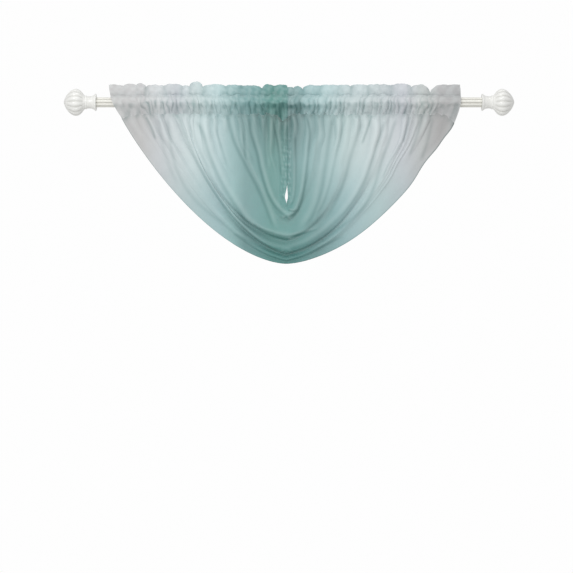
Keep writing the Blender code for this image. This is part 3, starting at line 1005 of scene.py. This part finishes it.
def pocket_radius(side, x0, angle, climb, lean, top_stitch):
    """How far the pocket's cloth stands from the pole's axis, round from below."""
    bulge, _ = bulge_at(POCKET_GATHERS[side], np.abs(x0) + lean)
    tangent = np.arccos(POCKET_RADIUS / -stitch_z(x0))
    over = np.arccos(POCKET_RADIUS / top_stitch)
    radius = POCKET_RADIUS / np.cos(np.maximum(tangent - angle, 0.0))
    radius = radius / np.cos(np.maximum(angle - math.pi + over, 0.0))
    radius = radius + POCKET_PUFF * np.sin(angle)
    high_ease = 1.0 - WRINKLE_HIGH_EASE * smooth(*WRINKLE_HIGH, climb)
    wrinkle = smooth(*WRINKLE_START, climb) * high_ease * smooth(*WRINKLE_END, climb)
    small = crumple(x0, 0.05 * climb, WRINKLE_WAVES, side)
    return radius + wrinkle * (bulge + small)


def heading_points(side, across, row):
    """Points on one heading's doubled cloth: up the front, over the ruffle, down the back."""
    last = 2 * (WALL_ROWS + RUFFLE_ROWS) + FOLD_ROWS
    back = row > last / 2.0
    climb_row = np.where(back, last - row, row)
    climb = unit(climb_row / WALL_ROWS)
    up = unit((climb_row - WALL_ROWS) / RUFFLE_ROWS)
    face = np.where(back, 1.0, -1.0)
    x0 = heading_x(side, across)
    flat_from = FLAT_ENDS[side][0]
    held = smooth(flat_from - LOOSE_EASE, flat_from + LOOSE_EASE, np.abs(x0))
    loose = 1.0 - FLAT_HOLD * held
    lean = crumple(x0, 0.05 * climb, LEAN_WAVES, side) - LEAN_RISE * climb
    stitch_waves = 1.0 + crumple(x0, x0, TOP_STITCH_WAVES)
    top_stitch = TOP_STITCH_Z + TOP_STITCH_WANDER * loose * stitch_waves
    angle = np.pi * climb
    radius = pocket_radius(side, x0, angle, climb, lean, top_stitch)
    wall_z = -radius * np.cos(angle)
    wall_y = face * radius * np.sin(angle)

    outward = side * flared_x(side, across, RUFFLE_TOP_Z)
    outward = outward + (1.0 - up) * crumple(x0, 0.04 * up, LOOP_WAVES, side)
    share, notch, top, turn = loop_at(side, outward)
    wave = turn * np.sin(np.pi * share)
    ripple = crumple(x0, 0.04 * up, RIPPLE_WAVES, side)
    top = notch + (top - notch) * np.sin(np.pi * share) ** LOOP_SQUARENESS
    top = top + crumple(x0, x0, EDGE_WAVES)
    ruffle_z = top_stitch + (top - top_stitch) * up
    turned = wave * (LOOP_LOW_TURN + (1.0 - LOOP_LOW_TURN) * up) * smooth(*LOOP_START, up)
    gap = RUFFLE_GAP * (1.0 + RUFFLE_OPENING * np.sin(np.pi * up))
    ruffle_y = face * gap + turned + loose * ripple * up
    around = (row - last / 2.0) / (FOLD_ROWS / 2.0)
    over_top = np.abs(around) < 1.0
    ruffle_y = np.where(over_top, wave + RUFFLE_GAP * around, ruffle_y)
    ruffle_z = np.where(over_top, top + RUFFLE_EDGE, ruffle_z)

    above = climb_row > WALL_ROWS
    z = np.where(above, ruffle_z, wall_z)
    y = np.where(above, ruffle_y, wall_y)
    sideways = loose * crumple(x0, z, SIDEWAYS_WAVES) * smooth(*SIDEWAYS_BAND, z)
    x = flared_x(side, across, z) + sideways
    pocket_crease = closeness_at(POCKET_GATHERS[side], np.abs(x0) + lean)
    pocket_crease = pocket_crease * (1.0 - POCKET_CREASE_EASE * smooth(*POCKET_CREASE_HIGH, climb))
    pocket_crease = pocket_crease * smooth(*POCKET_CREASE_END, up)
    loop_crease = (1.0 - np.sin(np.pi * share)) ** 2 * smooth(*LOOP_CREASE_START, climb)
    loop_crease = loop_crease * np.clip(np.abs(turn) / FULL_LOOP_TURN, 0.0, STRONGEST_LOOP)
    closeness = pocket_crease + loop_crease * (0.5 + 0.5 * up)
    return x, y, z, closeness, climb, up, loose


def heading_tones(side, x, z, closeness, climb, up, loose):
    """How full the cloth shows at each point of a heading, with its painted shade and painted
    highlight.
    """
    roof = smooth(*ROOF_START, climb) * smooth(*ROOF_END, up)
    blotch = unit(0.5 + 0.6 * crumple(x, 0.6 * z, BLOTCH_WAVES))
    puffs = unit(0.5 + 0.7 * crumple(0.8 * x, 1.3 * z, PUFF_WAVES, side))
    wander = crumple(x, 0.3 * z, LOW_WAVES)
    patch = unit(0.5 + 0.8 * crumple(x, 0.2 * z, PATCH_WAVES))
    low = smooth(LOW_LINE[0] + wander, LOW_LINE[1] + wander, climb)
    low = low * (1.0 - PATCH_FADE * patch * smooth(*PATCH_BAND, climb))
    drape = unit(crumple(x, 0.3 * z, DRAPE_WAVES, side)) * up * loose
    fullness = unit(EVEN_FULLNESS + 0.3 * closeness * loose + LOW_FULLNESS * low)
    gathered = closeness * (LOOSE_SHADE[0] + LOOSE_SHADE[1] * loose)
    shade = unit(
        tally(HEADING_SHADE, drape, gathered, low, low * blotch, roof, 1.0 - puffs)
        + HIGH_SHADE * bell(x, HIGH_SHADE_ON_HEADING * HIGH_SHADE_REACH) * low)
    painted_highlight = HEADING_PAINTED_HIGHLIGHT * puffs * (1.0 - LOW_HIGHLIGHT_EASE * low)
    return {"crease": shade, "fullness": fullness, "painted_highlight": painted_highlight}


def make_heading(side):
    """One heading: pocket and ruffle, a single strip of voile turned over the pole."""
    rows = 2 * (WALL_ROWS + RUFFLE_ROWS) + FOLD_ROWS
    mesh, across, along = new_grid(HEADING_COLUMNS, rows)
    x, y, z, *marks = heading_points(side, across * OUTER, np.round(along * rows))
    put_vertices(mesh, x, y, z)
    flat = (x * GATHERED_FULLNESS, along * HEADING_CUT)
    return add_piece(mesh, "heading_" + SIDE_NAMES[side], HEADING_VOILE,
                     heading_tones(side, x, z, *marks), flat)


# ---------------------------------------------------------------- pole, collars and finials

Turned = namedtuple("Turned", "along radius")
POLE_RADIUS = 0.0175
POLE_HALF_LENGTH = 0.655
REED_COUNT = 8
REED_SIDES = 16
REED_DEPTH = 0.0021
REED_TURN = math.radians(11.5)
REED_EDGE_ANGLE = math.radians(35.0)
FIT_GAP = 0.0003
COLLAR_ROWS = (
    Turned(0.0, 0.0285), Turned(0.003, 0.029), Turned(0.006, 0.0262), Turned(0.0125, 0.0222),
    Turned(0.022, 0.0206), Turned(0.031, 0.0212), Turned(0.033, 0.0232), Turned(0.0367, 0.0232),
)
FINIAL_ROWS = (
    Turned(0.0, 0.0225), Turned(0.005, 0.0262), Turned(0.013, 0.0368), Turned(0.022, 0.0436),
    Turned(0.0315, 0.046), Turned(0.041, 0.044), Turned(0.052, 0.037), Turned(0.062, 0.0262),
    Turned(0.069, 0.014), Turned(0.0727, 0.0045),
)
FLUTE_COUNT = 14
FLUTE_SIDES = 14
FLUTE_DEPTH = 0.07
FLUTE_SHADE = 0.8
FLUTE_SHADE_SHARPNESS = 1.5
PROFILE_STEPS = 5
COLLAR_STEPS = 96
COLLAR_EDGE_ANGLE = math.radians(40.0)
WAIST_RADIUS = 0.0215
WAIST_SHADE = 0.25
MERGE_DISTANCE = 0.00001


def turn_profile(side, start, rows, steps):
    """Spin a closed, smoothed profile round the pole's axis."""
    mesh = bmesh.new()
    points = np.array(rows)
    profile = fair_curve(points, points[0], points[-1], PROFILE_STEPS)
    outline = [(start, 0.0)]
    outline += [(start + along, radius) for along, radius in profile]
    outline.append((start + profile[-1][0], 0.0))
    points = [mesh.verts.new((side * along, 0.0, radius)) for along, radius in outline]
    edges = [mesh.edges.new(pair) for pair in zip(points, points[1:])]
    bmesh.ops.spin(
        mesh, geom=points + edges, cent=(0.0, 0.0, 0.0), axis=(1.0, 0.0, 0.0),
        angle=2.0 * math.pi, steps=steps, use_merge=True,
    )
    bmesh.ops.remove_doubles(mesh, verts=mesh.verts, dist=MERGE_DISTANCE)
    bmesh.ops.recalc_face_normals(mesh, faces=mesh.faces)
    return mesh


def make_pole():
    """Reeded pole: a cylinder whose rim is drawn in between the reeds."""
    mesh = bmesh.new()
    bmesh.ops.create_cone(
        mesh, cap_ends=True, segments=REED_COUNT * REED_SIDES,
        radius1=POLE_RADIUS, radius2=POLE_RADIUS, depth=2.0 * POLE_HALF_LENGTH,
    )
    painted_groove_shade = []
    for vertex in mesh.verts:
        angle = math.atan2(vertex.co.y, vertex.co.x)
        valley = 1.0 - abs(math.cos(angle * REED_COUNT / 2.0))
        radius = POLE_RADIUS - REED_DEPTH * valley
        along = -vertex.co.z
        turned = angle + REED_TURN
        vertex.co = (along, -radius * math.cos(turned), radius * math.sin(turned))
        # Painted shade in the grooves between the reeds.
        painted_groove_shade.append(valley ** 2)
    pole = add_piece(mesh, "pole_reeded", POLE_PAINT, {"painted_groove_shade": painted_groove_shade})
    pole.data.set_sharp_from_angle(angle=REED_EDGE_ANGLE)
    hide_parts("pole")


def make_collar(side):
    """Turned neck between the pole and a finial."""
    mesh = turn_profile(side, POLE_HALF_LENGTH + FIT_GAP, COLLAR_ROWS, COLLAR_STEPS)
    # Painted shade in the collar's waist.
    painted_groove_shade = [
        0.0 if math.hypot(vertex.co.y, vertex.co.z) > WAIST_RADIUS else WAIST_SHADE
        for vertex in mesh.verts
    ]
    collar = add_piece(mesh, "turned_collar_" + SIDE_NAMES[side], KNOB_PAINT,
                       {"painted_groove_shade": painted_groove_shade})
    collar.data.set_sharp_from_angle(angle=COLLAR_EDGE_ANGLE)
    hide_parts("collar_" + SIDE_NAMES[side])


def make_finial(side):
    """Fluted knob: its flutes are pressed in deepest over the ball."""
    start = POLE_HALF_LENGTH + FIT_GAP + COLLAR_ROWS[-1].along + FIT_GAP
    mesh = turn_profile(side, start, FINIAL_ROWS, FLUTE_COUNT * FLUTE_SIDES)
    painted_groove_shade = []
    for vertex in mesh.verts:
        angle = math.atan2(vertex.co.y, vertex.co.z)
        outwards = math.hypot(vertex.co.y, vertex.co.z)
        over_ball = float(smooth(FINIAL_ROWS[0].radius, FINIAL_ROWS[2].radius, outwards))
        along_ball = float(smooth(0.0, FINIAL_ROWS[2].along, abs(vertex.co.x) - start))
        valley = 1.0 - abs(math.cos(angle * FLUTE_COUNT / 2.0))
        press = FLUTE_DEPTH * max(over_ball, along_ball) * valley
        vertex.co.y *= 1.0 - press
        vertex.co.z *= 1.0 - press
        # Painted shade in the flutes over the ball.
        painted_groove_shade.append(FLUTE_SHADE * over_ball * valley ** FLUTE_SHADE_SHARPNESS)
    finial = add_piece(mesh, "fluted_finial_" + SIDE_NAMES[side], KNOB_PAINT,
                       {"painted_groove_shade": painted_groove_shade})
    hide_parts("finial_" + SIDE_NAMES[side])


# ---------------------------------------------------------------- stage


def make_floor():
    """A plain pale floor well below."""
    mesh = bmesh.new()
    bmesh.ops.create_grid(mesh, x_segments=1, y_segments=1, size=FLOOR_SIZE / 2.0)
    bmesh.ops.translate(mesh, verts=mesh.verts, vec=(0.0, 0.0, FLOOR_Z))
    data = bpy.data.meshes.new("pale_floor")
    mesh.to_mesh(data)
    mesh.free()
    material, tree, shader = new_material("pale_studio_floor", Roughness=0.9)
    place = add_node(tree, "ShaderNodeTexCoord").outputs["Object"]
    grain = add_node(tree, "ShaderNodeTexNoise", {"Vector": place}, {"Scale": 3.0})
    tone = add_node(tree, "ShaderNodeMix", {0: grain.outputs["Fac"]}, {
        6: dye("#FBFBFA"), 7: dye("#F6F6F4")}, data_type="RGBA")
    tree.links.new(tone.outputs[2], shader.inputs["Base Color"])
    data.materials.append(material)
    floor = bpy.data.objects.new("pale_floor", data)
    bpy.context.scene.collection.objects.link(floor)


def light_room():
    """A bright, even room with soft light from the front and from above."""
    world = bpy.data.worlds.new("bright_room")
    world.use_nodes = True
    tree = world.node_tree
    tree.nodes.clear()
    lit, seen = (
        add_node(tree, "ShaderNodeBackground", values={"Color": WHITE, "Strength": strength})
        for strength in (ROOM_LIGHT, ROOM_SEEN)
    )
    ray = add_node(tree, "ShaderNodeLightPath").outputs["Is Camera Ray"]
    mixed = add_node(tree, "ShaderNodeMixShader", {0: ray, 1: lit.outputs[0], 2: seen.outputs[0]})
    add_node(tree, "ShaderNodeOutputWorld", {"Surface": mixed.outputs[0]})
    bpy.context.scene.world = world
    bpy.context.scene.view_settings.view_transform = "Standard"
    for softbox in SOFTBOXES:
        add_softbox(softbox)


make_floor()
light_room()
swag = make_swag()
headings = [make_heading(side) for side in (LEFT, RIGHT)]
make_pole()
for side in (LEFT, RIGHT):
    make_collar(side)
    make_finial(side)
